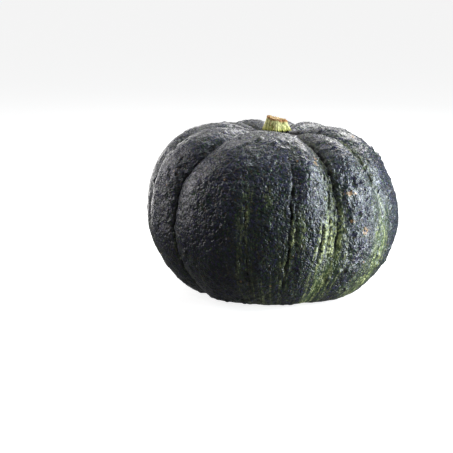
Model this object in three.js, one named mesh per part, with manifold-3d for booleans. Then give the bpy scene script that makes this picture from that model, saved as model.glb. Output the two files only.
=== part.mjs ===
// Kabocha squash, whole, as picked: a squat ribbed fruit with a pebbled rind, and its short corky stem.
// Millimetres, +Z up. The fruit rests on Z = 0, the origin is under its middle, and its front faces -Y.
// Directions round the fruit are given in degrees from the front (-Y) towards +X.
import * as THREE from "three";
import { mergeVertices } from "three/addons/utils/BufferGeometryUtils.js";
import Module from "manifold-3d";

// ---- Driving dimensions -------------------------------------------------------------------------
const FRUIT = {
  radius: 105, // of the round that the ribs swell out to, before the furrows are pressed in
  crown: 75.5, // height of that round over its middle
  keel: 85, // its depth under the middle, before it is settled on its flat
  leftShoulder: 2.4, // exponent of the outline above the middle: 2 is an ellipse, more is squarer
  rightShoulder: 1.75,
  crest: 1.2, // added to that exponent towards the top, which is flatter
  belly: 2, // the exponent under the middle
  lean: THREE.MathUtils.degToRad(1), // of the stem's end towards +X
  stemShift: 2.5, // mm that the stem's end grew further towards +X than that
  rest: 65, // height of the middle above the flat that the fruit rests on
  restRounding: 4, // how softly the belly runs out into that flat
};
const STEM_DIMPLE = { depth: 9.5, radius: 26 };
const BLOSSOM_DIMPLE = { depth: 25, radius: 38 }; // mostly taken up by settling on the flat
const BLOSSOM_BUTTON = { height: 1.6, radius: 6 }; // the corky scar where the flower sat

// Furrows between the ribs, with depths in mm and angles in degrees. A furrow lies in a direction from the
// front towards +X, and is so deep and so wide on its left and its right. From its start latitude up it
// swings over towards the crown, and it bends towards the underside. It fades out above its top latitude,
// and keeps a share of its depth on the keel, the underside: under 0 it runs out on the way there.
const FURROWS = [
  { at: -118, depth: 7.5, left: 8, right: 8, swing: -4, start: 30, bend: 3, top: 90, keel: 0.4 },
  { at: -81, depth: 6, left: 6, right: 7, swing: -6, start: 30, bend: 4, top: 90, keel: 0.4 },
  { at: -54.3, depth: 14, left: 9, right: 6, swing: 9.5, start: 8, bend: 3, top: 90, keel: 0.4 },
  { at: -12, depth: 1.5, left: 3, right: 3, swing: 0, start: 30, bend: 2, top: 35, keel: 0.5 },
  { at: 9, depth: 4.5, left: 18, right: 3.5, swing: 0, start: 30, bend: -5, top: 48, keel: 0.2 },
  { at: 30.5, depth: 13, left: 9, right: 8, swing: 4, start: 30, bend: -7, top: 90, keel: 0.15 },
  { at: 58, depth: 6.5, left: 5, right: 5, swing: 6, start: 30, bend: -2, top: 90, keel: -0.6 },
  { at: 97, depth: 7, left: 6, right: 6, swing: 6, start: 30, bend: -3, top: 90, keel: 0.3 },
  { at: 129, depth: 6.5, left: 8, right: 8, swing: 0, start: 30, bend: -3, top: 90, keel: 0.4 },
  { at: 162, depth: 6.5, left: 7, right: 7, swing: 0, start: 30, bend: 3, top: 90, keel: 0.4 },
  { at: 189, depth: 6, left: 7, right: 7, swing: 0, start: 30, bend: -3, top: 90, keel: 0.4 },
  { at: 216, depth: 6, left: 7, right: 7, swing: 0, start: 30, bend: 3, top: 90, keel: 0.4 },
];
const FURROW_ROUNDING = 1.4; // degrees: keeps the bottom of a furrow from being a knife edge
const SWING_SPAN = 45; // degrees of latitude over which a furrow swings
const BEND = { from: 20, to: -50 }; // latitudes over which it bends
const KEEL = { from: 50, to: -50 }; // and over which it gets shallower
const TOP_FADE = { before: 20, after: 8 }; // degrees over which it fades out at its top
const FURROW_FADE = { inner: 8, outer: 34 }; // mm from the axis: furrows run out towards the poles

const PEBBLES = { pitch: 12, height: 2.2 }; // the warty relief of the rind, coarser than life
const LUMPS = { pitch: 34, height: 1.3 }; // slow swells under it

const STEM = {
  height: 12, // of its axis above the seat
  baseRadius: 14.6,
  neckRadius: 10.6,
  topRadius: 8.8,
  flare: 3.2, // mm over which the base spreads on to the rind
  ribs: 5,
  ribDepth: 0.12, // share of the radius
  cutSlope: Math.tan(THREE.MathUtils.degToRad(11)), // the cut top falls towards +X
  pithDepth: 0.9, // the dried middle of the cut
  seatGap: 0.3, // clearance that two meshes keep where they meet
  root: 9, // how far the plain blank reaches into the fruit before it is cut to fit
};

const AROUND = 120; // steps round the fruit
const UP = 48; // steps from pole to pole
const STEM_AROUND = 60;

// ---- Small helpers ------------------------------------------------------------------------------
const { degToRad, smoothstep, lerp } = THREE.MathUtils;

// The direction in the ground plane that lies `degrees` round from the front.
const outward = (degrees) =>
  new THREE.Vector3(Math.sin(degToRad(degrees)), -Math.cos(degToRad(degrees)), 0);

// A repeatable number from 0 to 1 for a corner of a lattice.
function latticeRandom(x, y, z, salt) {
  const s = Math.sin(x * 127.1 + y * 311.7 + z * 74.7 + salt * 53.3) * 43758.5453;
  return s - Math.floor(s);
}

// Distance from a point to the nearest of a set of scattered seeds, one for each cell of a lattice, in cells.
function seedDistance(point, pitch) {
  const cell = point.clone().divideScalar(pitch);
  const corner = cell.clone().floor();
  const seed = new THREE.Vector3();
  let nearest = Infinity;
  for (let i = -1; i <= 1; i++)
    for (let j = -1; j <= 1; j++)
      for (let k = -1; k <= 1; k++) {
        const [x, y, z] = [corner.x + i, corner.y + j, corner.z + k];
        seed.set(latticeRandom(x, y, z, 1), latticeRandom(x, y, z, 2), latticeRandom(x, y, z, 3));
        nearest = Math.min(nearest, seed.add(new THREE.Vector3(x, y, z)).distanceTo(cell));
      }
  return nearest;
}

// A bump over each seed, from 0 between them to 1 on top.
const bumps = (point, pitch) => 1 - smoothstep(seedDistance(point, pitch), 0, 0.85);

// ---- The fruit ----------------------------------------------------------------------------------
// How deep the furrows are pressed in, for a direction from the middle: latitude and azimuth in degrees.
function furrowDepth(latitude, azimuth, distanceFromAxis) {
  const nearPole = smoothstep(distanceFromAxis, FURROW_FADE.inner, FURROW_FADE.outer);
  const bent = smoothstep(-latitude, -BEND.from, -BEND.to);
  const onKeel = smoothstep(-latitude, -KEEL.from, -KEEL.to);
  let depth = 0;
  for (const furrow of FURROWS) {
    const swung = smoothstep(latitude, furrow.start, furrow.start + SWING_SPAN);
    const line = furrow.at + furrow.swing * swung + furrow.bend * bent;
    const turn = THREE.MathUtils.euclideanModulo(azimuth - line + 180, 360) - 180;
    const away = Math.hypot(turn, FURROW_ROUNDING) - FURROW_ROUNDING;
    const width = turn > 0 ? furrow.right : furrow.left;
    const fading = smoothstep(latitude, furrow.top - TOP_FADE.before, furrow.top + TOP_FADE.after);
    const shown = Math.max(lerp(1, furrow.keel, onKeel), 0) * (furrow.top < 90 ? 1 - fading : 1);
    depth += furrow.depth * shown * Math.exp(-away / width);
  }
  return depth * nearPole;
}

// Turns a point of the upright fruit over to the side that the fruit leans to.
const leaned = (point) => point.applyAxisAngle(new THREE.Vector3(0, 1, 0), FRUIT.lean);

// The height of a point over the flat, once the fruit has settled on it.
function settled(height) {
  const t = Math.max(height + FRUIT.restRounding, 0);
  return height > FRUIT.restRounding ? height : t ** 2 / (4 * FRUIT.restRounding);
}

// The point of the rind in a direction from the middle of the fruit.
function rindPoint(latitude, azimuth) {
  const up = Math.sin(degToRad(latitude));
  const out = Math.cos(degToRad(latitude));
  const high = up > 0 ? FRUIT.crown : FRUIT.keel;
  const rightward = (1 + Math.sin(degToRad(azimuth))) / 2;
  const shoulder = lerp(FRUIT.leftShoulder, FRUIT.rightShoulder, rightward) + FRUIT.crest * up;
  const p = up > 0 ? shoulder : FRUIT.belly;
  const reach = ((out / FRUIT.radius) ** p + (Math.abs(up) / high) ** p) ** (-1 / p);
  let r = reach * out;
  let z = reach * up;

  // The way that the round's own surface faces.
  const faceOut = (r / FRUIT.radius) ** (p - 1) / FRUIT.radius;
  const faceUp = (Math.sign(z) * (Math.abs(z) / high) ** (p - 1)) / high;
  const face = new THREE.Vector2(faceOut, faceUp).normalize();

  const onRound = outward(azimuth).multiplyScalar(r).setZ(z);
  const calmPole = smoothstep(r, 10, 30);
  const relief =
    PEBBLES.height * bumps(onRound, PEBBLES.pitch) + LUMPS.height * bumps(onRound, LUMPS.pitch);
  const pressed = furrowDepth(latitude, azimuth, r) - relief * calmPole;
  const squash = up > 0 ? STEM_DIMPLE : BLOSSOM_DIMPLE;
  const dimple = squash.depth * Math.exp(-((r / squash.radius) ** 2));
  const button = up < 0 ? BLOSSOM_BUTTON.height * Math.exp(-((r / BLOSSOM_BUTTON.radius) ** 4)) : 0;

  z -= face.y * pressed + Math.sign(up) * (dimple - button);
  r -= face.x * pressed;
  const upright = outward(azimuth).multiplyScalar(Math.max(r, 0)).setZ(z);
  upright.x += FRUIT.stemShift * Math.max(z / FRUIT.crown, 0) ** 2;
  const point = leaned(upright);
  return point.setZ(settled(point.z + FRUIT.rest));
}

// A closed surface from rings of points, each ring going round the same way, with a point at either end.
function closedRings(bottom, rings, top) {
  const around = rings[0].length;
  const points = [bottom, ...rings.flat(), top];
  const index = [];
  const id = (ring, step) => 1 + ring * around + (step % around);
  for (let step = 0; step < around; step++) {
    index.push(0, id(0, step + 1), id(0, step));
    index.push(points.length - 1, id(rings.length - 1, step), id(rings.length - 1, step + 1));
    for (let ring = 0; ring + 1 < rings.length; ring++) {
      const [a, b] = [id(ring, step), id(ring, step + 1)];
      const [c, d] = [id(ring + 1, step), id(ring + 1, step + 1)];
      index.push(a, b, d, a, d, c);
    }
  }
  return new THREE.BufferGeometry().setFromPoints(points).setIndex(index);
}

function fruitGeometry() {
  const rings = [];
  for (let row = 1; row < UP; row++) {
    const latitude = lerp(-90, 90, row / UP);
    rings.push(Array.from({ length: AROUND }, (_, step) => rindPoint(latitude, (360 * step) / AROUND)));
  }
  return closedRings(rindPoint(-90, 0), rings, rindPoint(90, 0));
}

// ---- The stem -----------------------------------------------------------------------------------
// Radius of the stem at a height above its seat: a spread foot, a neck and a slightly narrower cut.
function stemRadius(height) {
  const foot = (STEM.baseRadius - STEM.neckRadius) * Math.exp(-Math.max(height, 0) / STEM.flare);
  return lerp(STEM.neckRadius, STEM.topRadius, Math.max(height, 0) / STEM.height) + foot;
}

// Five main ribs with a lesser one between each pair, deepest at the foot.
function stemRibs(azimuth, height) {
  const main = Math.abs(Math.cos(degToRad((azimuth * STEM.ribs) / 2)));
  const lesser = Math.abs(Math.cos(degToRad((azimuth * STEM.ribs) / 2 + 90)));
  const share = STEM.ribDepth * (1.5 - height / STEM.height);
  return 1 - share * (1 - Math.max(main, 0.75 * lesser) ** 2);
}

function stemBlank(seat) {
  const place = (point) => leaned(point).add(seat);
  const ring = (height, scale, sink) =>
    Array.from({ length: STEM_AROUND }, (_, step) => {
      const azimuth = (360 * step) / STEM_AROUND;
      const radius = stemRadius(height) * stemRibs(azimuth, Math.max(height, 0)) * scale;
      const point = outward(azimuth).multiplyScalar(radius);
      const slope = -STEM.cutSlope * point.x * smoothstep(height, 0, STEM.height);
      return place(point.setZ(height + slope - sink));
    });
  const heights = [-STEM.root, 0, 1, 2.2, 4, 6.5, 9];
  const rings = heights.map((height) => ring(height, 1, 0));
  rings.push(ring(STEM.height - 0.6, 1, 0));
  rings.push(ring(STEM.height, 0.93, 0));
  rings.push(ring(STEM.height, 0.6, STEM.pithDepth * 0.7));
  return closedRings(
    place(new THREE.Vector3(0, 0, -STEM.root)),
    rings,
    place(new THREE.Vector3(0, 0, STEM.height - STEM.pithDepth)),
  );
}

// ---- Joining and cutting ------------------------------------------------------------------------
const wasm = await Module();
wasm.setup();

function solidOf(geometry) {
  const bare = new THREE.BufferGeometry()
    .setAttribute("position", geometry.getAttribute("position"))
    .setIndex(geometry.index);
  const merged = mergeVertices(bare, 1e-3);
  return new wasm.Manifold(
    new wasm.Mesh({
      numProp: 3,
      vertProperties: merged.getAttribute("position").array,
      triVerts: new Uint32Array(merged.index.array),
    }),
  );
}

function geometryOf(solid) {
  const { vertProperties, triVerts } = solid.getMesh();
  const geometry = new THREE.BufferGeometry();
  geometry.setAttribute("position", new THREE.BufferAttribute(vertProperties, 3));
  geometry.setIndex(new THREE.BufferAttribute(triVerts, 1));
  geometry.computeVertexNormals();
  return geometry;
}

// The stem's foot is cut by the rind that it grows from, raised by the gap.
function fittedStem(fruit, seat) {
  const rindRaised = solidOf(fruit).translate([0, 0, STEM.seatGap]);
  return geometryOf(solidOf(stemBlank(seat)).subtract(rindRaised));
}

// ---- The squash ---------------------------------------------------------------------------------
const rind = new THREE.MeshStandardMaterial({ color: 0x37453f, roughness: 0.45, metalness: 0 });
const cork = new THREE.MeshStandardMaterial({ color: 0xc9b877, roughness: 0.8, metalness: 0 });

const fruit = fruitGeometry();
fruit.computeBoundingBox();
const middle = fruit.boundingBox.getCenter(new THREE.Vector3());
const seat = rindPoint(90, 0);

const fruitMesh = new THREE.Mesh(fruit, rind);
fruitMesh.name = "squash_body";
const stemMesh = new THREE.Mesh(fittedStem(fruit, seat), cork);
stemMesh.name = "stem";

const kabocha = new THREE.Group();
kabocha.add(fruitMesh, stemMesh);
kabocha.position.set(-middle.x, -middle.y, 0); // the origin is under the middle of the outline

export default kabocha;
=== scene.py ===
"""A whole kabocha squash: its fine pebbled rind and its corky stem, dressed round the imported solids."""
import math

import bpy
import numpy as np
from mathutils import Matrix, Vector, noise
from mathutils.bvhtree import BVHTree


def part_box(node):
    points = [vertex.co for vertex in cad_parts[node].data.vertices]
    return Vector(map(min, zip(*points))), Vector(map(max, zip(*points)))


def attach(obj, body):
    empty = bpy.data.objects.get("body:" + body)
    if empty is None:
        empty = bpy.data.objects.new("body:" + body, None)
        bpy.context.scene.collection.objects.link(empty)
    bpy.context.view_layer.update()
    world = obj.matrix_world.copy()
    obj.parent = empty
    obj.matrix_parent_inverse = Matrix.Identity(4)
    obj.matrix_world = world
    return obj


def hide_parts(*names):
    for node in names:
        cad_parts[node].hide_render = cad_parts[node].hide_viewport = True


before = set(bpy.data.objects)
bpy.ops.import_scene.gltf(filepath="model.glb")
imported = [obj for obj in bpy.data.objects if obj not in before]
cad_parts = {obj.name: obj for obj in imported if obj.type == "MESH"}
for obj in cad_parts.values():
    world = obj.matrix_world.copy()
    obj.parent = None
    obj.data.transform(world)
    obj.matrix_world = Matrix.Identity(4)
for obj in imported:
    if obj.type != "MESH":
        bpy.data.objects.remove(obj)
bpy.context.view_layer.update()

MM = 0.001

# ---- Driving dimensions: metres and degrees, unless a line says otherwise -------------------------
FRUIT = {
    "Radius": 105 * MM,  # of the round that the ribs swell out to
    "Crown": 75.5 * MM,  # its height over its middle
    "Keel": 85 * MM,  # its depth under its middle, before it settles on its flat
    "Left shoulder": 2.4,  # exponents of the outline: 2 is an ellipse, more is squarer
    "Right shoulder": 1.75,
    "Crest": 1.2,  # added to the shoulder's exponent towards the top
    "Belly": 2.0,
    "Lean": math.radians(1),  # of the stem's end towards +X
    "Stem shift": 2.5 * MM,
    "Rest": 65 * MM,  # height of the middle over the floor
    "Rest rounding": 4 * MM,
    "Stem dimple depth": 10.5 * MM,
    "Stem dimple radius": 30 * MM,
    "Blossom dimple depth": 25 * MM,
    "Blossom dimple radius": 38 * MM,
}
BUTTON = {"height": 1.6 * MM, "radius": 6 * MM}  # the scar in the blossom dimple, where the flower sat

# Furrows between the ribs, with depths in mm and angles in degrees: direction from the front towards +X,
# depth, half-width on its left and its right, how far it swings over towards the crown and the latitude
# that it starts to swing at, how far it bends towards the underside, the latitude that it fades out at, and
# the share of its depth left on the underside: a share under 0 makes it run out on the way. Then the fine
# creases along it, each with its distance aside, its depth and the latitudes that it runs between, and last
# how green its stripe is.
FURROW_KEYS = ("at", "depth", "left", "right", "swing", "start", "bend", "top", "keel", "creases", "stripe")
FURROW_ROWS = (
    (-118, 7.5, 8, 8, -4, 30, 3, 90, 0.4, ((0, 2.0, -60, 90),), 0.35),
    (-81, 6, 6, 7, -6, 30, 4, 90, 0.4, ((0, 2.2, -60, 90),), 0.2),
    (-54.3, 14, 9, 6, 9.5, 8, 3, 100, 0.4, ((0, 5.5, -60, 90),), 0.1),
    (-12, 1.5, 3, 3, 0, 30, 2, 35, 0.5, ((0, 0.7, -30, 20), (2.6, 0.5, -30, 10)), 0.35),
    (9, 4.5, 18, 3.2, 0, 30, -5, 48, 0.2, ((0, 1.6, -22, 28), (2.4, 1.1, -15, 20)), 0.35),
    (30.5, 13, 9, 8, 4, 30, -7, 100, 0.15, ((2, 2.2, -8, 90), (-2.6, 2, -8, 62), (-6.5, 2.4, -10, 5)), 1.0),
    (58, 6.5, 5, 5, 6, 30, -2, 90, -0.6, ((0, 1.8, 24, 90),), 1.2),
    (97, 7, 6, 6, 6, 30, -3, 90, 0.3, ((0, 2.0, -40, 90), (3.2, 1.2, -20, 40)), 0.9),
    (129, 6.5, 8, 8, 0, 30, -3, 90, 0.4, ((0, 2.2, -60, 90),), 0.6),
    (162, 6.5, 7, 7, 0, 30, 3, 90, 0.4, ((0, 2.0, -60, 90), (3.0, 1.2, -20, 30)), 0.7),
    (189, 6, 7, 7, 0, 30, -3, 90, 0.4, ((0, 2.2, -60, 90),), 0.5),
    (216, 6, 7, 7, 0, 30, 3, 90, 0.4, ((0, 2.2, -60, 90), (-3.0, 1.2, -30, 40)), 0.6),
)
FURROWS = [dict(zip(FURROW_KEYS, row)) for row in FURROW_ROWS]
BOW_LABELS = ("At", "Swing", "Start", "Bend")
FURROW_ROUNDING = 1.2  # keeps the bottom of a furrow from being a knife edge
SWING_SPAN = 45  # of latitude, over which a furrow swings
BEND = {"from": 20, "to": -50}  # latitudes over which it bends
KEEL = {"from": 50, "to": -50}  # latitudes over which it gets shallower
TOP_FADE = {"before": 20, "after": 8}  # latitudes below and above its top over which it fades out
FURROW_FADE = {"inner": 6 * MM, "outer": 24 * MM}  # from the axis: furrows run out towards the poles
# A crease: its half-width, what each mm of its depth adds to that, and how softly it begins and ends.
CREASE = {"narrowest": 0.3, "widening": 0.1, "fade": 12}
SPREAD = {"valley": 0.3, "crease": 1.4, "from": 35, "to": 80}  # how much wider they get towards the crown
LIP = {"aside": 1.4, "width": 0.9, "height": 0.4}  # ridges beside a green crease, as a share of its depth
DRIFT = ((26, 3.0), (7, 3.2))  # how the furrows wander: over so many mm, by so many degrees in all
BEADS = {"size": 7, "least": 0.3, "most": 1.6}  # how the depth of a crease comes and goes
STRIPE_WIDTH = 6.5  # half-width of a green stripe
GATHER = {"width": 4.5, "share": 0.65}  # how far the skin's points are drawn in towards the furrows
SKIN_POINTS = 129  # along each edge of the cube that the skin is spread from

# Relief of the rind, in mm.
SWELL_LIFT = 0.9  # of the middle of the swells over the round
SWELLS = ((30, 2.4), (13, 1.4))  # how far apart, and how high in all
KNOBS = {"pitch": 6.2, "height": 3.4}
WARTS = {"pitch": 4.2, "height": 0.6}
WRINKLES = {"pitch": 5.5, "height": 0.5}
DENTS = {"pitch": 7.5, "depth": 0.9}
CALM = {"inner": 12 * MM, "outer": 62 * MM, "least": 0.3}  # from the axis: lower relief towards the poles
KNOBBLY = {"at": 42, "reach": 15, "latitude": 8, "height": 22, "elsewhere": 0.6}  # where most knobs are
COLLAR = {"inner": 17 * MM, "outer": 25 * MM}  # the dark wrinkled ring round the stem: partly the rind's own dark colour, partly painted shade on the floor of the dimple
FULL = {"valley": 13, "crease": 2.4}  # depths in mm that the finish takes as 1

# Patches on the rind: direction, latitude, half-width round and half-width up, in degrees.
CORKY_PATCHES = [
    (24.5, 37, 2.5, 6),
    (74, 46, 5, 2.2),
    (98, 62, 13, 5),
    (39.5, 17.5, 6, 1.8),
    (38, 5, 2, 2),
    (45, 0, 3, 3),
    (-116, 66, 10, 4),
    (165, 48, 9, 3),
    (-150, 20, 3, 6),
    (135, 8, 5, 3),
    (-84, -22, 4, 3),
    (202, -12, 5, 3),
]
GREEN_PATCHES = [
    (13, 2, 2.5, 7),
    (-11.5, 13, 2.2, 8),
    (-2, 14, 2, 6),
    (52, -30, 9, 8),
    (140, -20, 8, 8),
    (-140, -15, 7, 9),
    (175, 5, 5, 10),
]

STEM = {
    "height": 8.6 * MM,  # from the edge of its foot to the cut
    "lift": 4.0 * MM,  # of that edge over the bottom of the dimple
    "base": 12.4 * MM,  # its radius at the foot
    "neck": 10.9 * MM,  # what that radius would be without the flare
    "top": 8.3 * MM,
    "flare": 3.0 * MM,
    "root": 8 * MM,  # how far its narrower root reaches down under the foot
    "root_start": 0.2 * MM,  # how far under the foot it is narrower from
    "root_share": 0.86,  # of the foot's radius where it starts
    "root_end_share": 0.84,
    "ribs": 5,
    "rib_depth": 0.14,  # share of the radius
    "cut_slope": math.tan(math.radians(11)),
    "pith_depth": 0.9 * MM,
    "fibres": 0.5 * MM,  # how far the fine fibres stand out of the side
    "ragged": 1.2 * MM,  # how uneven the rim of the cut is
    "teeth": 42,  # round the torn edge of the foot
    "tooth": 1.5 * MM,
    "around": 336,  # points round it
    "side_rows": 34,
    "cut_rings": (0.97, 0.9, 0.75, 0.55, 0.35, 0.15),  # shares of the cut's radius
}

CAMERA = {
    "distance": 1.3,
    "elevation": math.radians(11),
    "field": 0.3796,  # width of what it sees at the squash
    "aim_left": 0.0381,  # how far it looks past the squash's middle
    "aim_below": 0.0130,
}
FLOOR = {"half": 9.0, "glow": 0.85}
BACKDROP = 1.0
FILL = 0.10
SOFTBOX_DISTANCE = 0.9
# Name, direction and elevation in degrees, width and height in metres, power in watts, colour. The bounce
# shines up through the floor, which throws no shadow.
SOFTBOXES = (
    ("right_softbox", 97, 18, (0.4, 0.45), 8.2, (0.84, 0.94, 0.98)),
    ("front_right_softbox", 57, 18, (0.2, 0.3), 2.5, (0.82, 0.93, 0.98)),
    ("table_bounce", 85, -20, (0.4, 0.4), 6.4, (0.90, 0.96, 1.0)),
    ("glint_softbox", 78, 26, (0.10, 0.10), 1.5, (1.0, 1.0, 1.0)),
    ("back_right_softbox", 154, 40, (0.4, 0.4), 3.9, (1.0, 0.99, 0.97)),
    ("back_left_softbox", -162, 50, (0.4, 0.4), 1.3, (1.0, 0.99, 0.98)),
    ("rim_left_softbox", -165, 4, (0.7, 0.5), 2.4, (1.0, 0.98, 0.97)),
    ("side_left_softbox", -112, 20, (0.4, 0.4), 1.8, (1.0, 0.97, 0.98)),
    ("low_left_softbox", -92, 6, (0.4, 0.4), 1.0, (1.0, 0.97, 0.98)),
    ("left_softbox", -94, 44, (0.3, 0.3), 0.9, (1.0, 0.97, 0.98)),
    ("top_softbox", 0, 84, (0.12, 0.12), 1.0, (0.86, 0.95, 0.98)),
)

# ---- Colours, and the heights that they change at -------------------------------------------------
BLUE_BLACK = (0.012, 0.013, 0.029, 1)
GREEN_BLACK = (0.010, 0.020, 0.025, 1)
# Lighter grey for raised relief: partly worn wax, partly a painted highlight on the knobs and warts.
WORN_WAX_AND_SHEEN = (0.034, 0.042, 0.052, 1)
# Near black for the dips of the fine grain: partly pores, partly painted shade.
PORE_AND_SHADE_BLACK = (0.002, 0.002, 0.004, 1)
# Pale grey for the tops of the fine grain: partly bloom, partly a painted highlight.
BLOOM_AND_HIGHLIGHT = (0.090, 0.100, 0.150, 1)
SPECK_GREEN = (0.110, 0.180, 0.060, 1)
STREAK_GREEN = (0.115, 0.165, 0.065, 1)
STREAK_YELLOW = (0.62, 0.66, 0.29, 1)
CORKY_TAN = (0.40, 0.24, 0.11, 1)
# Near black round the stem: partly the rind's own dark ring, partly painted shade in the dimple.
COLLAR_SHADE_BLACK = (0.013, 0.008, 0.012, 1)
# Near black for the fine creases: painted shade in them.
CREASE_SHADE_BLACK = (0.002, 0.002, 0.003, 1)
# Near black for the slits: painted shade inside them.
SLIT_SHADE_BLACK = (0.003, 0.003, 0.004, 1)
# Mottles of the rind: where their noise is taken from, its size in mm, the level that they show from, how
# strong they are, and their colour.
MOTTLES = (
    ((5, 1, 8), 2.2, 0.55, 0.7, (0.026, 0.080, 0.024, 1)),
    ((31, 4, 6), 2.0, 0.57, 0.75, (0.095, 0.058, 0.028, 1)),
    ((9, 27, 3), 2.4, 0.54, 0.9, (0.044, 0.036, 0.115, 1)),
)
# Olive for the flutes and cream for the ridges: partly the stem's own colours, partly painted shade and
# painted highlight.
FLUTE_OLIVE = (0.13, 0.17, 0.015, 1)
RIDGE_CREAM = (1.0, 0.95, 0.44, 1)
STAIN_BROWN = (0.50, 0.26, 0.08, 1)
FOOT_LIME = (0.56, 0.56, 0.08, 1)
PITH_BROWN = (0.24, 0.11, 0.04, 1)
PITH_TAN = (0.80, 0.58, 0.28, 1)
RIM_BROWN = (0.44, 0.16, 0.05, 1)
# Near black for the root under the foot: painted shade in the gap between the foot's teeth.
ROOT_SHADE_BLACK = (0.016, 0.010, 0.014, 1)
# Heights over the floor, in mm, between which the finish changes.
UNDERSIDE_HEIGHT = (15, 60)
GREEN_HEIGHT = (35, 105)
CROWN_HEIGHT = (108, 136)

# ---- Nodes as Python expressions ------------------------------------------------------------------
class Wire:
    """One socket's value. Arithmetic on it adds Math nodes, so that a formula reads as one."""

    def __init__(self, nodes, socket):
        self.nodes, self.socket = nodes, socket

    def maths(self, operation, *others):
        return self.nodes.add("ShaderNodeMath", {"operation": operation}, dict(enumerate((self, *others))))

    def __add__(self, other):
        return self.maths("ADD", other)

    def __sub__(self, other):
        return self.maths("SUBTRACT", other)

    def __rsub__(self, other):
        return self.nodes.add("ShaderNodeMath", {"operation": "SUBTRACT"}, {0: other, 1: self})

    def __mul__(self, other):
        return self.maths("MULTIPLY", other)

    def __truediv__(self, other):
        return self.maths("DIVIDE", other)

    def __rtruediv__(self, other):
        return self.nodes.add("ShaderNodeMath", {"operation": "DIVIDE"}, {0: other, 1: self})

    def __pow__(self, other):
        return self.maths("POWER", other)

    def __neg__(self):
        return self * -1.0

    def __gt__(self, other):
        return self.maths("GREATER_THAN", other)

    def split(self):
        """The X, Y and Z of a vector."""
        parts = self.nodes.add("ShaderNodeSeparateXYZ", sockets={0: self}).socket.node
        return [Wire(self.nodes, out) for out in parts.outputs]

    __radd__ = __add__
    __rmul__ = __mul__


class Nodes:
    """Adds nodes to one tree."""

    def __init__(self, tree):
        self.tree = tree

    def add(self, kind, settings=None, sockets=None, out=0):
        """One node: its settings first, then its sockets' values or links. Gives the wire of one output."""
        node = self.tree.nodes.new(kind)
        for name, value in (settings or {}).items():
            setattr(node, name, value)
        for key, value in (sockets or {}).items():
            if isinstance(value, Wire):
                self.tree.links.new(value.socket, node.inputs[key])
            elif isinstance(value, int):
                node.inputs[key].default_value = type(node.inputs[key].default_value)(value)
            else:
                node.inputs[key].default_value = value
        return Wire(self, node.outputs[out]) if node.outputs else node

    def use(self, group, sockets):
        """One copy of a group. Gives the wires of its outputs by their names."""
        node = self.add("GeometryNodeGroup", {"node_tree": group}, sockets).socket.node
        return {output.name: Wire(self, output) for output in node.outputs}


def geometry_group(name, labels, formula):
    """A geometry node group with numbers of the given names going in, and what a formula makes of them."""
    tree = bpy.data.node_groups.new(name, "GeometryNodeTree")
    for label in labels:
        tree.interface.new_socket(label, in_out="INPUT", socket_type="NodeSocketFloat")
    nodes = Nodes(tree)
    inputs = nodes.add("NodeGroupInput").socket.node
    results = formula(*(Wire(nodes, inputs.outputs[label]) for label in labels))
    for label in results:
        tree.interface.new_socket(label, in_out="OUTPUT", socket_type="NodeSocketFloat")
    nodes.add("NodeGroupOutput", sockets=results)
    return tree


def smoothstep(x, low, high):
    return x.nodes.add("ShaderNodeMapRange", {"interpolation_type": "SMOOTHSTEP"}, {0: x, 1: low, 2: high})


def vector(nodes, x, y, z):
    return nodes.add("ShaderNodeCombineXYZ", sockets={0: x, 1: y, 2: z})


def between(low, high, share):
    """What lies that share of the way from one value to another."""
    return low + (high - low) * share


def scaled(place, factor):
    return place.nodes.add("ShaderNodeVectorMath", {"operation": "SCALE"}, {0: place, "Scale": factor})


def moved(place, offset):
    """The place with an offset added, which keeps one pattern from lining up with another."""
    return place.nodes.add("ShaderNodeVectorMath", {"operation": "ADD"}, {0: place, 1: offset})


def cloud(place, size, detail=2.0, rough=0.5):
    """Soft noise from 0 to 1, with features of about the given size."""
    sockets = {"Vector": place, "Scale": 1 / size, "Detail": detail, "Roughness": rough}
    return place.nodes.add("ShaderNodeTexNoise", sockets=sockets)


def wander(place, rows):
    """Slow clouds on each other, each of a size in mm, that go up and down by so much in all."""
    total = 0.0
    for size, swing in rows:
        total = total + swing * (cloud(place, size, 1.0) - 0.5)
    return total


def folded(place, size, detail):
    """Winding folds: 1 along their tops, down to 0."""
    return 1 - 2 * (cloud(place, size, detail) - 0.5).maths("ABSOLUTE")


def warped(place, size, reach):
    """A place pushed aside by up to the reach, so that what is scattered on it loses its order."""
    sockets = {"Vector": place, "Scale": 1 / size, "Detail": 1.0}
    push = place.nodes.add("ShaderNodeTexNoise", sockets=sockets, out="Color")
    return moved(place, scaled(moved(push, (-0.5, -0.5, -0.5)), 2 * reach))


def cells(place, pitch, out="Distance"):
    """How far the nearest of seeds at a pitch is, as a share of it, or that seed's random colour."""
    return place.nodes.add("ShaderNodeTexVoronoi", sockets={"Vector": place, "Scale": 1 / pitch}, out=out)


def domes(place, pitch, reach, sparse):
    """Round bumps from 0 to 1 over scattered seeds. Sparse is the share of the seeds that have none."""
    chance = cells(place, pitch, "Color").split()[0]
    return (1 - smoothstep(cells(place, pitch), 0.0, reach)) * smoothstep(chance, sparse, 1.0)


# ---- The rind: a skin spread from a cube by the rule of the fruit ---------------------------------
def fruit_direction(nodes, cube_place):
    """Unit direction from the middle to a point of the cube, with the cube's grid evened out."""
    evened = [axis.maths("MULTIPLY", math.pi / 4).maths("TANGENT") for axis in cube_place.split()]
    return nodes.add("ShaderNodeVectorMath", {"operation": "NORMALIZE"}, {0: vector(nodes, *evened)})


def groove(turn, width):
    """1 along the middle of a groove, down to 0 beyond its width."""
    return ((turn / width) ** 2 * -1.0).maths("EXPONENT")


def wrapped(turn):
    """The same turn, from -180 to 180 degrees."""
    return turn.maths("WRAP", 180.0, -180.0)


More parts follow.
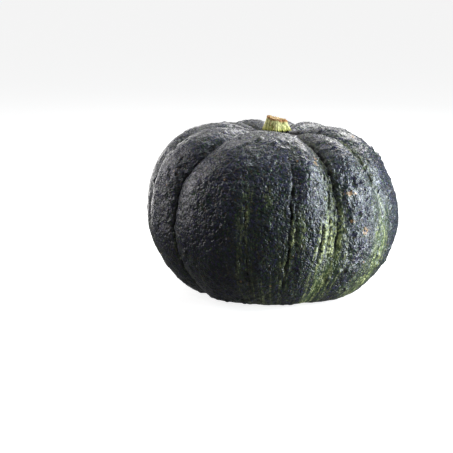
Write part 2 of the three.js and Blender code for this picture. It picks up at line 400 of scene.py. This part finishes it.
def furrow_line(azimuth, latitude, at, swing, start, bend):
    """How many degrees a place lies round from a furrow's line, which swings over and bends on its way."""
    swung = smoothstep(latitude, start, start + SWING_SPAN)
    bent = smoothstep(-latitude, -BEND["from"], -BEND["to"])
    return {"Turn": wrapped(azimuth - at - swing * swung - bend * bent)}


def crown_spread(latitude, share):
    """How much wider in degrees a line gets towards the crown."""
    return 1 + share * smoothstep(latitude, SPREAD["from"], SPREAD["to"])


def furrow_valley(turn, latitude, depth, left, right, top, keel, stripe):
    """The broad valley of a furrow, and its green stripe."""
    upper = smoothstep(latitude, KEEL["to"], KEEL["from"])
    width = between(left, right, turn > 0.0) * crown_spread(latitude, SPREAD["valley"])
    away = (turn * turn + FURROW_ROUNDING ** 2) ** 0.5 - FURROW_ROUNDING
    faded = smoothstep(latitude, top - TOP_FADE["before"], top + TOP_FADE["after"])
    shown = (keel + (1 - keel) * upper).maths("MAXIMUM", 0.0) * (1 - faded)
    return {
        "Valley": depth * shown * (-away / width).maths("EXPONENT"),
        "Stripe": stripe * groove(turn, STRIPE_WIDTH),
    }


def furrow_crease(turn, latitude, aside, depth, low, high, stripe):
    """A fine crease along a furrow, and the low lips on both sides of it, highest where it is green."""
    from_line = turn - aside
    begun = smoothstep(latitude, low - CREASE["fade"], low + CREASE["fade"])
    ended = smoothstep(latitude, high - CREASE["fade"], high + CREASE["fade"])
    deep = depth * begun * (1 - ended)
    lip = groove(from_line - LIP["aside"], LIP["width"]) + groove(from_line + LIP["aside"], LIP["width"])
    width = (CREASE["narrowest"] + CREASE["widening"] * depth) * crown_spread(latitude, SPREAD["crease"])
    return {"Crease": deep * groove(from_line, width), "Lip": LIP["height"] * stripe * deep * lip}


def patch(azimuth, latitude, at, up, around, tall):
    """A soft patch, from 1 in its middle to 0."""
    return {"Patch": groove(wrapped(azimuth - at), around) * groove(latitude - up, tall)}


def pull(turn):
    """How far round a point of the skin is drawn in towards a furrow's line."""
    return {"Pull": GATHER["share"] * turn * groove(turn, GATHER["width"])}


def turn_from(nodes, line, furrow, azimuth, latitude):
    """How many degrees a place lies round from one furrow."""
    bow = {label: float(furrow[label.lower()]) for label in BOW_LABELS}
    return nodes.use(line, {"Azimuth": azimuth, "Latitude": latitude, **bow})["Turn"]


def furrow_terms(nodes, line, azimuth, latitude, drift):
    """At a place in degrees: depths in mm of the valleys and creases, heights of the lips, and stripes."""
    valley_labels = ("Turn", "Latitude", "Depth", "Left", "Right", "Top", "Keel", "Stripe")
    valley = geometry_group("furrow_valley", valley_labels, furrow_valley)
    crease_labels = ("Turn", "Latitude", "Aside", "Depth", "Low", "High", "Stripe")
    crease = geometry_group("furrow_crease", crease_labels, furrow_crease)
    total = {"Valley": 0.0, "Stripe": 0.0, "Crease": 0.0, "Lip": 0.0}
    for furrow in FURROWS:
        form = {label: float(furrow[label.lower()]) for label in valley_labels[2:]}
        turn = turn_from(nodes, line, furrow, azimuth, latitude) + drift
        parts = [nodes.use(valley, {"Turn": turn, "Latitude": latitude, **form})]
        for aside, depth, low, high in furrow["creases"]:
            run = {"Aside": aside, "Depth": depth, "Low": low, "High": high, "Stripe": form["Stripe"]}
            parts.append(nodes.use(crease, {"Turn": turn, "Latitude": latitude, **run}))
        for part in parts:
            for label, wire in part.items():
                total[label] = total[label] + wire
    return total


def gathered(nodes, line, azimuth, latitude):
    """Draws azimuths in towards the furrows, so that the skin has more points where it is finest."""
    draw = geometry_group("gather_pull", ("Turn",), pull)
    drawn = azimuth
    for furrow in FURROWS:
        turn = turn_from(nodes, line, furrow, azimuth, latitude)
        drawn = drawn - nodes.use(draw, {"Turn": turn})["Pull"]
    return drawn


def patches(nodes, group, azimuth, latitude, rows):
    """All of a list's patches in one."""
    total = 0.0
    for at, up, around, tall in rows:
        form = {"At": at, "Up": up, "Around": around, "Tall": tall}
        total = total + nodes.use(group, {"Azimuth": azimuth, "Latitude": latitude, **form})["Patch"]
    return total


def rind_relief(place, ringed, azimuth, latitude):
    """Heights in mm on the round: its slow swells, and all that stands on them. Place is in mm."""
    swells = SWELL_LIFT + wander(place, SWELLS)
    round_it = groove(azimuth - KNOBBLY["at"], KNOBBLY["reach"])
    elsewhere = smoothstep(cloud(moved(place, (40, 0, 9)), 30.0, 1.0), 0.45, 0.65)
    knobbly = round_it * groove(latitude - KNOBBLY["latitude"], KNOBBLY["height"])
    knobbly = knobbly + KNOBBLY["elsewhere"] * elsewhere
    knobs = KNOBS["height"] * domes(moved(place, (7, 3, 5)), KNOBS["pitch"], 0.62, 0.1) * knobbly
    warts = WARTS["height"] * domes(place, WARTS["pitch"], 0.7, 0.2)
    higher = 0.25 + 0.75 * smoothstep(latitude, 5.0, 40.0)
    further_right = 0.3 + 0.7 * smoothstep(place.split()[0], -80.0, 0.0)
    folds = smoothstep(folded(ringed, WRINKLES["pitch"], 1.0), 0.8, 1.0)
    wrinkles = WRINKLES["height"] * folds * (higher * further_right)
    dents = DENTS["depth"] * (1 - smoothstep(cells(moved(place, (4, 9, 2)), DENTS["pitch"]), 0.05, 0.3))
    return swells, knobs + warts + wrinkles - dents


def smooth_round(size, up, out, upper, right):
    """The round before furrows: distance from the axis, height, and how far its face looks out and up."""
    shoulder = between(size["Left shoulder"], size["Right shoulder"], (right + 1) * 0.5)
    power = between(size["Belly"], shoulder + size["Crest"] * up, upper)
    high = between(size["Keel"], size["Crown"], upper)
    steep = up.maths("ABSOLUTE")
    reach = ((out / size["Radius"]) ** power + (steep / high) ** power) ** (-1 / power)
    r, z = reach * out, reach * up
    face_out = (r / size["Radius"]) ** (power - 1) / size["Radius"]
    face_up = up.maths("SIGN") * (z.maths("ABSOLUTE") / high) ** (power - 1) / high
    face = (face_out * face_out + face_up * face_up) ** 0.5
    return r, z, face_out / face, face_up / face


def dimple_depth(size, r, upper):
    """Depth of the dimple at either end, less the button in the lower one."""
    depth = between(size["Blossom dimple depth"], size["Stem dimple depth"], upper)
    width = between(size["Blossom dimple radius"], size["Stem dimple radius"], upper)
    button = BUTTON["height"] * ((r / BUTTON["radius"]) ** 4 * -1.0).maths("EXPONENT") * (1 - upper)
    return depth * groove(r, width) - button


def settled_point(nodes, size, right, back, r, z):
    """Shifts the crown towards +X, leans the fruit, and settles it on its flat."""
    shift = size["Stem shift"] * (z / size["Crown"]).maths("MAXIMUM", 0.0) ** 2
    x, y = right * r + shift, back * r
    cosine, sine = size["Lean"].maths("COSINE"), size["Lean"].maths("SINE")
    height = z * cosine - x * sine + size["Rest"]
    soft = (height + size["Rest rounding"]).maths("MAXIMUM", 0.0)
    settled = soft * soft / (size["Rest rounding"] * 4)
    clear = height > size["Rest rounding"]
    return vector(nodes, x * cosine + z * sine, y, between(settled, height, clear))


def skin_tree(material):
    """Geometry nodes that spread the skin. Its inputs are the sizes in FRUIT."""
    tree = bpy.data.node_groups.new("squash_skin", "GeometryNodeTree")
    for label, value in FRUIT.items():
        socket = tree.interface.new_socket(label, in_out="INPUT", socket_type="NodeSocketFloat")
        socket.default_value = value
    tree.interface.new_socket("Skin", in_out="OUTPUT", socket_type="NodeSocketGeometry")
    nodes = Nodes(tree)
    inputs = nodes.add("NodeGroupInput").socket.node
    size = {label: Wire(nodes, inputs.outputs[label]) for label in FRUIT}

    # Where each point of the cube lies round the fruit, drawn in towards the furrows.
    count = {"Vertices X": SKIN_POINTS, "Vertices Y": SKIN_POINTS, "Vertices Z": SKIN_POINTS}
    cube = nodes.add("GeometryNodeMeshCube", sockets={"Size": (2, 2, 2), **count})
    direction = fruit_direction(nodes, nodes.add("GeometryNodeInputPosition"))
    east, north, up = direction.split()
    out = (east * east + north * north) ** 0.5
    latitude = up.maths("ARCSINE").maths("DEGREES")
    line = geometry_group("furrow_line", ("Azimuth", "Latitude", *BOW_LABELS), furrow_line)
    azimuth = gathered(nodes, line, east.maths("ARCTAN2", -north).maths("DEGREES"), latitude)
    turn = azimuth.maths("RADIANS")
    right, back = turn.maths("SINE"), -turn.maths("COSINE")
    upper = up > 0.0
    r, z, face_out, face_up = smooth_round(size, up, out, upper, right)

    # Furrows pressed in, and the relief that stands on the ribs.
    place = vector(nodes, right * r / MM, back * r / MM, z / MM)
    ringed = vector(nodes, right * 32, back * 32, latitude * 1.6)
    furrows = furrow_terms(nodes, line, azimuth, latitude, wander(place, DRIFT))
    beaded = smoothstep(cloud(moved(place, (3, 3, 3)), BEADS["size"], 2.0), 0.35, 0.65)
    beads = between(BEADS["least"], BEADS["most"], beaded)
    near_pole = smoothstep(r, FURROW_FADE["inner"], FURROW_FADE["outer"])
    swells, fine = rind_relief(place, ringed, azimuth, latitude)
    calm = between(CALM["least"], 1, smoothstep(r, CALM["inner"], CALM["outer"]))
    furrowed = (furrows["Valley"] + (furrows["Crease"] - furrows["Lip"]) * beads) * near_pole
    pressed = (furrowed - (swells + fine * calm)) * MM
    low_z = z - face_up * pressed - up.maths("SIGN") * dimple_depth(size, r, upper)
    low_r = (r - face_out * pressed).maths("MAXIMUM", 0.0)
    point = settled_point(nodes, size, right, back, low_r, low_z)

    # What the finish needs is worked out on the cube, so it is stored before the points leave it.
    skin = cube
    soft_patch = geometry_group("patch", ("Azimuth", "Latitude", "At", "Up", "Around", "Tall"), patch)
    stored = {
        "cork": patches(nodes, soft_patch, azimuth, latitude, CORKY_PATCHES),
        "green": patches(nodes, soft_patch, azimuth, latitude, GREEN_PATCHES),
        "collar": (1 - smoothstep(r, COLLAR["inner"], COLLAR["outer"])) * upper,
        "stripe": furrows["Stripe"],
        "relief": fine,
        "hollow": furrows["Valley"] / FULL["valley"],
        "crease": furrows["Crease"] * beads * near_pole / FULL["crease"],
        "lip": furrows["Lip"] * near_pole,
    }
    for label, value in stored.items():
        sockets = {"Geometry": skin, "Name": label, "Value": value}
        skin = nodes.add("GeometryNodeStoreNamedAttribute", sockets=sockets)
    skin = nodes.add("GeometryNodeSetPosition", sockets={"Geometry": skin, "Position": point})
    skin = nodes.add("GeometryNodeSetShadeSmooth", sockets={0: skin})
    skin = nodes.add("GeometryNodeRealizeInstances", sockets={0: skin})
    skin = nodes.add("GeometryNodeSetMaterial", sockets={"Geometry": skin, "Material": material})
    nodes.add("NodeGroupOutput", sockets={0: skin})
    return tree


def grown(name, tree, sizes):
    """Runs a tree once and gives its result as a plain object."""
    holder = bpy.data.objects.new(name + "_holder", bpy.data.meshes.new(name + "_holder"))
    bpy.context.scene.collection.objects.link(holder)
    modifier = holder.modifiers.new("grow", "NODES")
    modifier.node_group = tree
    for socket in tree.interface.items_tree:
        if socket.in_out == "INPUT":
            modifier[socket.identifier] = sizes[socket.name]
    depsgraph = bpy.context.evaluated_depsgraph_get()
    mesh = bpy.data.meshes.new_from_object(
        holder.evaluated_get(depsgraph), preserve_all_data_layers=True, depsgraph=depsgraph
    )
    bpy.data.objects.remove(holder)
    mesh.name = name
    piece = bpy.data.objects.new(name, mesh)
    bpy.context.scene.collection.objects.link(piece)
    return piece


def centred_on(piece, node):
    """Moves the piece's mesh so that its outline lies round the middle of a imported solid's."""
    low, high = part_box(node)
    corners = np.array([v.co for v in piece.data.vertices])
    middle = (corners.min(0) + corners.max(0)) / 2
    target = (low + high) / 2
    piece.data.transform(Matrix.Translation((target.x - middle[0], target.y - middle[1], 0)))


# ---- Finishes -------------------------------------------------------------------------------------
def finish_nodes(name):
    """A new material, its nodes, its shader node, and the wire of the piece's own coordinates in mm."""
    material = bpy.data.materials.new(name)
    material.use_nodes = True
    nodes = Nodes(material.node_tree)
    shader = material.node_tree.nodes["Principled BSDF"]
    place = scaled(nodes.add("ShaderNodeTexCoord", out="Object"), 1 / MM)
    return material, nodes, shader, place


def blend(factor, first, second):
    """Mixes two colours."""
    return factor.nodes.add("ShaderNodeMix", {"data_type": "RGBA"}, {0: factor, 6: first, 7: second}, 2)


def put(nodes, shader, name, wire):
    nodes.tree.links.new(wire.socket, shader.inputs[name])


def bump(height, strength):
    """A normal from a height in mm."""
    sockets = {"Height": height, "Distance": MM, "Strength": strength}
    return height.nodes.add("ShaderNodeBump", sockets=sockets)


def spots(place, pitch, inner, outer):
    """Round spots from 0 to 1 over scattered seeds. Inner and outer are shares of the pitch."""
    return 1 - smoothstep(cells(place, pitch), inner, outer)


def attribute(nodes, name):
    return nodes.add("ShaderNodeAttribute", {"attribute_name": name}, out="Fac")


def rind_grain(place, around, loose, relief):
    """The finest relief of the rind: pebbles, winding folds, grain, and slits up the ribs."""
    x, y = around
    z = place.split()[2]
    rough_patch = smoothstep(cloud(moved(place, (2, 6, 4)), 13.0, 1.0), 0.35, 0.65)
    pebbles = smoothstep(cloud(place, 2.7, 0.5), 0.32, 0.54) * (0.3 + 1.2 * rough_patch)
    off_knobs = 1 - 0.7 * smoothstep(relief, 0.8, 2.0)
    pebbles = pebbles * off_knobs * (0.5 + 0.5 * smoothstep(z, *UNDERSIDE_HEIGHT))
    folds = smoothstep(folded(moved(loose, (9, 9, 9)), 4.2, 0.5), 0.7, 1.0)
    grain = smoothstep(cloud(moved(place, (2, 2, 9)), 1.4, 0.5), 0.32, 0.60)
    upright = warped(vector(place.nodes, x * 95, y * 95, z * 0.5), 7.0, 1.8)
    slits = spots(upright, 4.4, 0.06, 0.24) * (cells(upright, 4.4, "Color").split()[0] > 0.4)
    return pebbles, folds, grain, slits


def rind_ground(place, relief, pebbles, grain):
    """The colour of the dark rind: blue-black to green-black, mottled, lighter on raised relief as wax and
    painted highlight, darker where the fine grain dips as pores and painted shade, and pale on the grain's
    tops as bloom and painted highlight.
    """
    hue = cloud(moved(place, (8, 0, 3)), 16.0, 2.0)
    ground = blend(smoothstep(hue, 0.35, 0.65), BLUE_BLACK, GREEN_BLACK)
    # Raised relief is painted lighter: partly worn wax, partly a painted highlight on the bumps.
    ground = blend(smoothstep(relief, 0.2, 1.5) * 0.4, ground, WORN_WAX_AND_SHEEN)
    for offset, size, level, share, colour in MOTTLES:
        mottle = smoothstep(cloud(moved(place, offset), size, 1.5), level, level + 0.08)
        ground = blend(mottle * share, ground, colour)
    # The grain's dips are painted dark, partly as pores and partly as painted shade; its tops are painted
    # pale, partly as bloom and partly as a painted highlight.
    ground = blend((1 - grain) * 0.45, ground, PORE_AND_SHADE_BLACK)
    ground = blend(grain * pebbles * 0.35, ground, BLOOM_AND_HIGHLIGHT)
    specks = spots(moved(place, (5, 1, 8)), 4.6, 0.10, 0.26) * smoothstep(cloud(place, 8.0, 1.0), 0.42, 0.6)
    return blend(specks * 0.75, ground, SPECK_GREEN)


def rind_green(place, around, loose, marks, pebbles):
    """How green the stripes, lips, patches and underside are, and where they are bright yellow-green."""
    x, y = around
    z = place.split()[2]
    streaked = vector(place.nodes, x * 105, y * 105, z * 0.12)
    low_side = 1 - smoothstep(z, *GREEN_HEIGHT) * 0.85
    speckle = smoothstep(cloud(moved(loose, (4, 4, 4)), 2.1, 1.5), 0.40, 0.56)
    streaks = smoothstep(cloud(streaked, 3.4, 3.0, 0.6), 0.38, 0.60)
    fine_streaks = smoothstep(cloud(moved(streaked, (31, 7, 2)), 1.8, 2.0), 0.44, 0.62)
    here_and_there = smoothstep(cloud(moved(streaked, (7, 7, 7)), 24.0, 1.0), 0.4, 0.65)
    underside = (1 - smoothstep(z, *UNDERSIDE_HEIGHT)) * here_and_there
    ridged = smoothstep(marks["lip"], 0.10, 0.5) * low_side * speckle
    green = marks["stripe"] * low_side * (0.2 + 0.8 * streaks)
    green = green + 0.7 * marks["green"] * smoothstep(pebbles, 0.1, 0.6)
    green = (green + 0.15 * underside * streaks + ridged).maths("MINIMUM", 1.0)
    return green, green * (fine_streaks * speckle).maths("MAXIMUM", 0.7 * ridged)


def rind_finish():
    """Waxy blue-black green skin, with yellow-green streaks down the furrows and corky flecks."""
    material, nodes, shader, place = finish_nodes("waxy_rind")
    names = ("stripe", "relief", "cork", "green", "collar", "hollow", "crease", "lip")
    marks = {name: attribute(nodes, name) for name in names}
    x, y, z = place.split()
    away = (x * x + y * y) ** 0.5 + 0.01
    around = x / away, y / away
    loose = warped(place, 9.0, 2.2)
    crown = smoothstep(z, *CROWN_HEIGHT)
    pebbles, folds, grain, slits = rind_grain(place, around, loose, marks["relief"])
    green, bright = rind_green(place, around, loose, marks, pebbles)
    crease = smoothstep(marks["crease"], 0.15, 0.6)
    collar_shade = smoothstep(marks["collar"] + 0.9 * (cloud(moved(place, (6, 6, 1)), 2.4, 1.0) - 0.5), 0.3, 0.7)
    flecks = spots(place, 11.0, 0.05, 0.11) * (cells(place, 11.0, "Color").split()[1] > 0.72)
    corky = smoothstep(marks["cork"] * cloud(moved(place, (3, 8, 1)), 2.6, 2.0), 0.36, 0.46)

    colour = rind_ground(place, marks["relief"], pebbles, grain)
    colour = blend(green * 0.85, colour, STREAK_GREEN)
    colour = blend(bright, colour, STREAK_YELLOW)
    colour = blend(flecks.maths("MAXIMUM", corky) * 0.8, colour, CORKY_TAN)
    # A ragged ring round the stem is painted near black: partly the rind's own colour, partly painted shade
    # at the bottom of the dimple.
    colour = blend(collar_shade * 0.9, colour, COLLAR_SHADE_BLACK)
    # The fine creases are painted near black as painted shade in them.
    colour = blend(crease * 0.95, colour, CREASE_SHADE_BLACK)
    # The slits are painted near black as painted shade inside them.
    colour = blend(slits * 0.8, colour, SLIT_SHADE_BLACK)
    put(nodes, shader, "Base Color", colour)

    clouded = 0.14 * (cloud(place, 9.0, 2.0) - 0.5) + 0.16 * (0.5 - grain)
    rubbed = 0.12 * smoothstep(marks["relief"], 0.6, 1.8)
    dull = 0.05 * crown + 0.12 * marks["hollow"] + 0.5 * crease + 0.4 * slits + 0.4 * collar_shade
    put(nodes, shader, "Roughness", 0.25 + clouded - rubbed + dull)
    shader.inputs["Coat Weight"].default_value = 0.15
    shader.inputs["Coat Roughness"].default_value = 0.16
    height = (0.46 * pebbles + 0.14 * folds) * (1 - 0.5 * crown) + 0.20 * grain - 0.6 * slits
    put(nodes, shader, "Normal", bump(height, 1.0))
    return material


def cork_finish():
    """Dried stem: cream ridges and olive flutes, partly their own colours and partly painted highlight and
    shade, a mottled cut with a browned rim, and a root painted near black as the shade in the gap under the
    foot.
    """
    material, nodes, shader, place = finish_nodes("stem_cork")
    names = ("ridge", "cut", "foot", "rim", "under")
    ridge, cut, foot, rim, under = (attribute(nodes, name) for name in names)
    x, y, z = place.split()
    threads = cloud(vector(nodes, x, y, z * 0.15), 1.1, 3.0, 0.6)
    blotches = cloud(place, 4.0, 2.0)
    # Ridges are painted lighter and flutes darker: partly the stem's own colours, partly a painted
    # highlight on the ridges and painted shade in the flutes.
    side = blend(smoothstep(0.6 * ridge + 2.2 * (threads - 0.5), 0.0, 0.5), FLUTE_OLIVE, RIDGE_CREAM)
    side = blend(smoothstep(blotches + 0.35 * rim, 0.58, 0.72) * 0.6, side, STAIN_BROWN)
    side = blend(foot * 0.8, side, FOOT_LIME)
    top = blend(smoothstep(threads, 0.38, 0.58), PITH_BROWN, PITH_TAN)
    body = blend(cut, side, top)
    body = blend(smoothstep(rim + 0.8 * (blotches - 0.5), 0.4, 0.75) * 0.85, body, RIM_BROWN)
    # What lies under the foot is painted near black as the shade in the gap beneath it.
    body = blend(smoothstep(under, 0.1, 0.5), body, ROOT_SHADE_BLACK)
    put(nodes, shader, "Base Color", body)
    put(nodes, shader, "Roughness", 0.62 + 0.25 * blotches)
    put(nodes, shader, "Normal", bump(threads * 0.5 + blotches * 0.2, 0.6))
    return material


# ---- The stem -------------------------------------------------------------------------------------
def stem_ridge(azimuth):
    """From 0 in a flute to 1 on a main ridge, with a lesser ridge between each pair."""
    half = azimuth * STEM["ribs"] / 2
    return max(abs(math.cos(half)), 0.75 * abs(math.cos(half + math.pi / 2))) ** 2


def bumpy(way, pitch, offset):
    """Soft noise from -1 to 1 that a direction round the stem picks."""
    return noise.noise(Vector((way.x * pitch, way.y * pitch, offset)))


def stem_point(height, azimuth, share):
    """A point of the stem over its seat. Share runs from 0 on its axis to 1 on its side."""
    above = max(height, 0.0)
    risen = min(above / STEM["height"], 1.0)
    radius = STEM["neck"] + (STEM["top"] - STEM["neck"]) * above / STEM["height"]
    radius += (STEM["base"] - STEM["neck"]) * math.exp(-above / STEM["flare"])
    depth = STEM["rib_depth"] * (1.5 - above / STEM["height"])
    radius *= (1 - depth * (1 - stem_ridge(azimuth))) * share
    way = Vector((math.sin(azimuth), math.cos(azimuth), 0))
    radius += STEM["fibres"] * bumpy(way, 8, above * 60) * share
    tooth = 0.5 + 0.5 * math.cos(STEM["teeth"] * azimuth + 3 * bumpy(way, 3, 3))
    hang = STEM["tooth"] * tooth * math.exp(-above / (0.8 * MM)) * (height >= 0)
    slope = STEM["cut_slope"] * way.x * radius * risen
    torn = STEM["ragged"] * bumpy(way, 6, 9) * risen ** 4 * share
    return Vector((way.x * radius, -way.y * radius, height - slope + torn - hang))


def stem_marks(height, azimuth, share):
    """What the finish needs at a point of the stem, each from 0 to 1."""
    return {
        "ridge": stem_ridge(azimuth),
        "cut": float(height > 0 and share < 0.95),
        "foot": math.exp(-max(height, 0.0) / (1.5 * MM)),
        "rim": math.exp((height - STEM["height"]) / (2.0 * MM)) * max(0.0, share - 0.8) / 0.2,
        "under": float(height < 0),
    }


def stem_rings():
    """Each ring's height, share of the radius and extra depth: up the root and side, and over the cut."""
    rings = [(-STEM["root"], STEM["root_end_share"], 0.0), (-STEM["root_start"], STEM["root_share"], 0.0)]
    for i in range(STEM["side_rows"]):
        rings.append((STEM["height"] * (i / STEM["side_rows"]) ** 1.25, 1.0, 0.0))
    for share in STEM["cut_rings"]:
        rings.append((STEM["height"], share, STEM["pith_depth"] * (1 - share)))
    return rings


def stem_faces(rings, around):
    """Faces between the rings, and a fan at both ends. The two end points come after the rings' points."""
    faces = []
    last = rings - 1
    for step in range(around):
        after = (step + 1) % around
        faces.append((rings * around, after, step))
        faces.append((rings * around + 1, last * around + step, last * around + after))
        for row in range(last):
            a, b = row * around + step, row * around + after
            faces.append((a, b, b + around, a + around))
    return faces


def make_stem(rind, material):
    """A lathe of ridged rings, set on the rind where its axis meets it."""
    skin = rind.data
    tree = BVHTree.FromPolygons([v.co for v in skin.vertices], [p.vertices for p in skin.polygons])
    low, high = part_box("stem")
    axis = Vector(((low.x + high.x) / 2, (low.y + high.y) / 2, high.z + 0.05))
    seat = tree.ray_cast(axis, Vector((0, 0, -1)))[0] + Vector((0, 0, STEM["lift"]))
    lean = Matrix.Rotation(FRUIT["Lean"], 3, "Y")
    rings = stem_rings()
    points, marks = [], []
    for height, share, sink in rings:
        for step in range(STEM["around"]):
            azimuth = 2 * math.pi * step / STEM["around"]
            point = stem_point(height, azimuth, share)
            rough = noise.noise(point * 400) * 0.35 * MM + noise.noise(point * 1200) * 0.15 * MM
            outward = Vector((point.x, point.y, 0)).normalized()
            point += outward * rough * share - Vector((0, 0, sink + 0.5 * rough * (share < 1)))
            points.append(seat + lean @ point)
            marks.append(stem_marks(height, azimuth, share))
    for height, sink in ((-STEM["root"], 0.0), (STEM["height"], STEM["pith_depth"])):
        points.append(seat + lean @ Vector((0, 0, height - sink)))
        marks.append(stem_marks(height, 0.0, 0.0))
    mesh = bpy.data.meshes.new("cork_stem")
    mesh.from_pydata(points, [], stem_faces(len(rings), STEM["around"]))
    for label in marks[0]:
        values = [mark[label] for mark in marks]
        mesh.attributes.new(label, "FLOAT", "POINT").data.foreach_set("value", values)
    mesh.shade_smooth()
    mesh.materials.append(material)
    stem = bpy.data.objects.new("cork_stem", mesh)
    bpy.context.scene.collection.objects.link(stem)
    return stem


# ---- Floor, light and camera ----------------------------------------------------------------------
def make_floor():
    """A plain pale floor, wide enough for every view, lit from within so that its shadows stay faint."""
    half = FLOOR["half"]
    mesh = bpy.data.meshes.new("floor")
    corners = [(-half, -half, 0), (half, -half, 0), (half, half, 0), (-half, half, 0)]
    mesh.from_pydata(corners, [], [(0, 1, 2, 3)])
    pale = bpy.data.materials.new("pale_floor")
    pale.use_nodes = True
    shader = pale.node_tree.nodes["Principled BSDF"]
    shader.inputs["Base Color"].default_value = (0.5, 0.5, 0.5, 1)
    shader.inputs["Roughness"].default_value = 0.9
    shader.inputs["Emission Color"].default_value = (1, 1, 1, 1)
    shader.inputs["Emission Strength"].default_value = FLOOR["glow"]
    mesh.materials.append(pale)
    floor = bpy.data.objects.new("floor", mesh)
    bpy.context.scene.collection.objects.link(floor)
    floor.visible_diffuse = False
    floor.visible_glossy = False
    floor.visible_shadow = False


def make_softbox(name, azimuth, elevation, size, power, colour):
    """A soft light that looks at the squash from a direction in degrees, from the front towards +X."""
    light = bpy.data.lights.new(name, "AREA")
    light.shape = "RECTANGLE"
    light.size, light.size_y = size
    light.energy, light.color = power, colour
    turn, rise = math.radians(azimuth), math.radians(elevation)
    away = Vector((math.sin(turn) * math.cos(rise), -math.cos(turn) * math.cos(rise), math.sin(rise)))
    softbox = bpy.data.objects.new(name, light)
    softbox.location = Vector((0, 0, FRUIT["Rest"])) + away * SOFTBOX_DISTANCE
    softbox.rotation_mode = "QUATERNION"
    softbox.rotation_quaternion = away.to_track_quat("Z", "Y")
    softbox.visible_camera = False
    bpy.context.scene.collection.objects.link(softbox)


def make_world():
    """A white backdrop for the eye, and a dimmer fill on the squash."""
    world = bpy.data.worlds.new("studio")
    world.use_nodes = True
    bpy.context.scene.world = world
    nodes = Nodes(world.node_tree)
    seen = nodes.add("ShaderNodeLightPath", out="Is Camera Ray")
    background = world.node_tree.nodes["Background"]
    background.inputs["Color"].default_value = (1, 1, 1, 1)
    put(nodes, background, "Strength", between(FILL, BACKDROP, seen))


def make_camera():
    """Looks from the front and a little above, a little to the left of and below the squash's middle."""
    camera = bpy.data.cameras.new("camera")
    camera.sensor_width = 36
    camera.lens = 36 * CAMERA["distance"] / CAMERA["field"]
    eye = bpy.data.objects.new("camera", camera)
    back = Vector((0, -math.cos(CAMERA["elevation"]), math.sin(CAMERA["elevation"])))
    middle = Vector((0, 0, FRUIT["Rest"]))
    eye.location = middle + back * CAMERA["distance"]
    upright = Vector((0, math.sin(CAMERA["elevation"]), math.cos(CAMERA["elevation"])))
    aim = middle - Vector((CAMERA["aim_left"], 0, 0)) - upright * CAMERA["aim_below"]
    eye.rotation_mode = "QUATERNION"
    eye.rotation_quaternion = (aim - eye.location).to_track_quat("-Z", "Y")
    bpy.context.scene.collection.objects.link(eye)
    bpy.context.scene.camera = eye


# ---- The squash -----------------------------------------------------------------------------------
rind = grown("squash_rind", skin_tree(rind_finish()), FRUIT)
centred_on(rind, "squash_body")
stem = make_stem(rind, cork_finish())

for piece, node, slot in ((rind, "squash_body", "rind"), (stem, "stem", "stem_cork")):
    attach(piece, "root")
    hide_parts(node)

make_floor()
make_world()
for softbox in SOFTBOXES:
    make_softbox(*softbox)
make_camera()
bpy.context.scene.view_settings.view_transform = "Standard"
